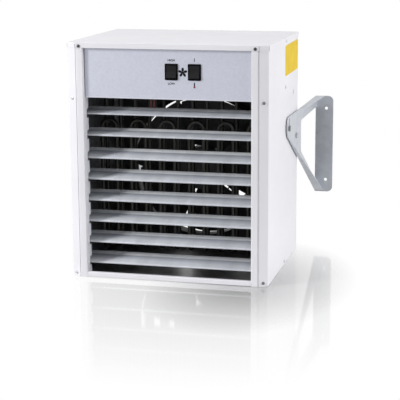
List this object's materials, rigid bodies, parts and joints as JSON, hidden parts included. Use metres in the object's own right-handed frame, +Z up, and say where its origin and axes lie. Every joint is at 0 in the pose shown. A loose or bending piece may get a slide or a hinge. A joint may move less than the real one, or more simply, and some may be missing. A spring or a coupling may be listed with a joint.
{
  "type": "unit heater",
  "caption": "Wall-hung electric fan heater: white sheet-metal casing with a turning louvre at the front, a switch panel above it and two tilting brackets behind.",
  "frame": {"origin": "middle of the casing's underside", "axes": "+X to the right seen from the front, +Y to the wall, +Z up"},
  "size_m": [0.476, 0.5609, 0.46],
  "materials": {
    "white_coat": "smooth white powder coat",
    "zinc_sheet": "galvanized sheet",
    "zinc_steel": "zinc-plated steel",
    "bright_aluminium": "bright rolled sheet",
    "black_plastic": "satin black moulding",
    "element_steel": "dull heat-darkened steel",
    "ceramic": "glazed ceramic",
    "brass": "plain",
    "brown_moulding": "phenolic moulding",
    "red_vinyl": "soft vinyl sleeve",
    "dark_moulding": "moulded",
    "pale_moulding": "moulded",
    "black_wire": "black coated wire",
    "black_coat": "black coated metal"
  },
  "bodies": {
    "casing": {"right_side_panel": "white_coat", "left_side_panel": "white_coat", "front_frame": "white_coat", "top_cover": "white_coat", "bottom_plate": "zinc_sheet", "compartment_shelf": "zinc_sheet", "rear_panel": "zinc_sheet", "fan_collar": "zinc_sheet", "control_panel": "zinc_sheet", "right_louvre_rail": "zinc_sheet", "left_louvre_rail": "zinc_sheet", "right_duct_panel": "zinc_sheet", "left_duct_panel": "zinc_sheet", "element_carrier": "zinc_sheet", "din_rail": "zinc_sheet", "louvre_pivot_pins": "zinc_steel", "bracket_pivot_bolts": "zinc_steel", "bracket_clamp_bolts": "zinc_steel", "bracket_washers": "zinc_steel", "bracket_nuts": "zinc_steel", "rear_screws": "zinc_steel", "guard_screws": "zinc_steel", "bevel_screws": "white_coat", "cover_screws": "white_coat", "side_screws": "white_coat", "left_switch_housing": "black_plastic", "right_switch_housing": "black_plastic", "cable_gland": "black_plastic", "gland_nut": "black_plastic", "heating_element_1": "element_steel", "heating_element_2": "element_steel", "heating_element_3": "element_steel", "heating_element_4": "element_steel", "heating_element_5": "element_steel", "heating_element_6": "element_steel", "element_insulators": "ceramic", "element_terminals": "brass", "overheat_cutout": "brown_moulding", "cutout_sleeves": "red_vinyl", "cutout_leads": "black_plastic", "contactor": "dark_moulding", "terminal_block": "pale_moulding", "fan_guard": "black_wire", "fan_motor": "black_coat"},
    "louvre_1": {"louvre_1": "bright_aluminium"},
    "louvre_2": {"louvre_2": "bright_aluminium"},
    "louvre_3": {"louvre_3": "bright_aluminium"},
    "louvre_4": {"louvre_4": "bright_aluminium"},
    "louvre_5": {"louvre_5": "bright_aluminium"},
    "louvre_6": {"louvre_6": "bright_aluminium"},
    "louvre_7": {"louvre_7": "bright_aluminium"},
    "louvre_8": {"louvre_8": "bright_aluminium"},
    "left_rocker": {"left_rocker": "black_plastic"},
    "right_rocker": {"right_rocker": "black_plastic"},
    "fan_impeller": {"fan_impeller": "black_coat"},
    "right_bracket": {"right_bracket": "zinc_sheet"},
    "left_bracket": {"left_bracket": "zinc_sheet"}
  },
  "joints": [
    {"name": "louvre_1_turn", "type": "hinge", "parent": "casing", "child": "louvre_1", "pos_m": [0, -0.119, 0.3215], "axis": [1, 0, 0], "range_deg": [-18, 18]},
    {"name": "louvre_2_turn", "type": "hinge", "parent": "casing", "child": "louvre_2", "pos_m": [0, -0.119, 0.2795], "axis": [1, 0, 0], "range_deg": [-18, 18]},
    {"name": "louvre_3_turn", "type": "hinge", "parent": "casing", "child": "louvre_3", "pos_m": [0, -0.119, 0.2375], "axis": [1, 0, 0], "range_deg": [-24, 12]},
    {"name": "louvre_4_turn", "type": "hinge", "parent": "casing", "child": "louvre_4", "pos_m": [0, -0.119, 0.1955], "axis": [1, 0, 0], "range_deg": [-24, 12]},
    {"name": "louvre_5_turn", "type": "hinge", "parent": "casing", "child": "louvre_5", "pos_m": [0, -0.119, 0.1535], "axis": [1, 0, 0], "range_deg": [-24, 12]},
    {"name": "louvre_6_turn", "type": "hinge", "parent": "casing", "child": "louvre_6", "pos_m": [0, -0.119, 0.1115], "axis": [1, 0, 0], "range_deg": [-24, 12]},
    {"name": "louvre_7_turn", "type": "hinge", "parent": "casing", "child": "louvre_7", "pos_m": [0, -0.119, 0.0695], "axis": [1, 0, 0], "range_deg": [-24, 12]},
    {"name": "louvre_8_turn", "type": "hinge", "parent": "casing", "child": "louvre_8", "pos_m": [0, -0.119, 0.0275], "axis": [1, 0, 0], "range_deg": [-24, 12]},
    {"name": "left_rocker_tip", "type": "hinge", "parent": "casing", "child": "left_rocker", "pos_m": [0.009, -0.1532, 0.407], "axis": [1, 0, 0], "range_deg": [0, 20]},
    {"name": "right_rocker_tip", "type": "hinge", "parent": "casing", "child": "right_rocker", "pos_m": [0.054, -0.1532, 0.407], "axis": [1, 0, 0], "range_deg": [0, 20]},
    {"name": "fan_spin", "type": "hinge", "parent": "casing", "child": "fan_impeller", "pos_m": [0, 0.12, 0.177], "axis": [0, 1, 0], "continuous": true},
    {"name": "right_bracket_tilt", "type": "hinge", "parent": "casing", "child": "right_bracket", "pos_m": [0.199, 0.122, 0.249], "axis": [1, 0, 0], "range_deg": [0, 12]},
    {"name": "left_bracket_tilt", "type": "hinge", "parent": "casing", "child": "left_bracket", "pos_m": [-0.199, 0.122, 0.249], "axis": [1, 0, 0], "range_deg": [0, 12]}
  ],
  "couplings": [
    {"joint": "left_bracket_tilt", "follows": "right_bracket_tilt", "ratio": 1}
  ]
}
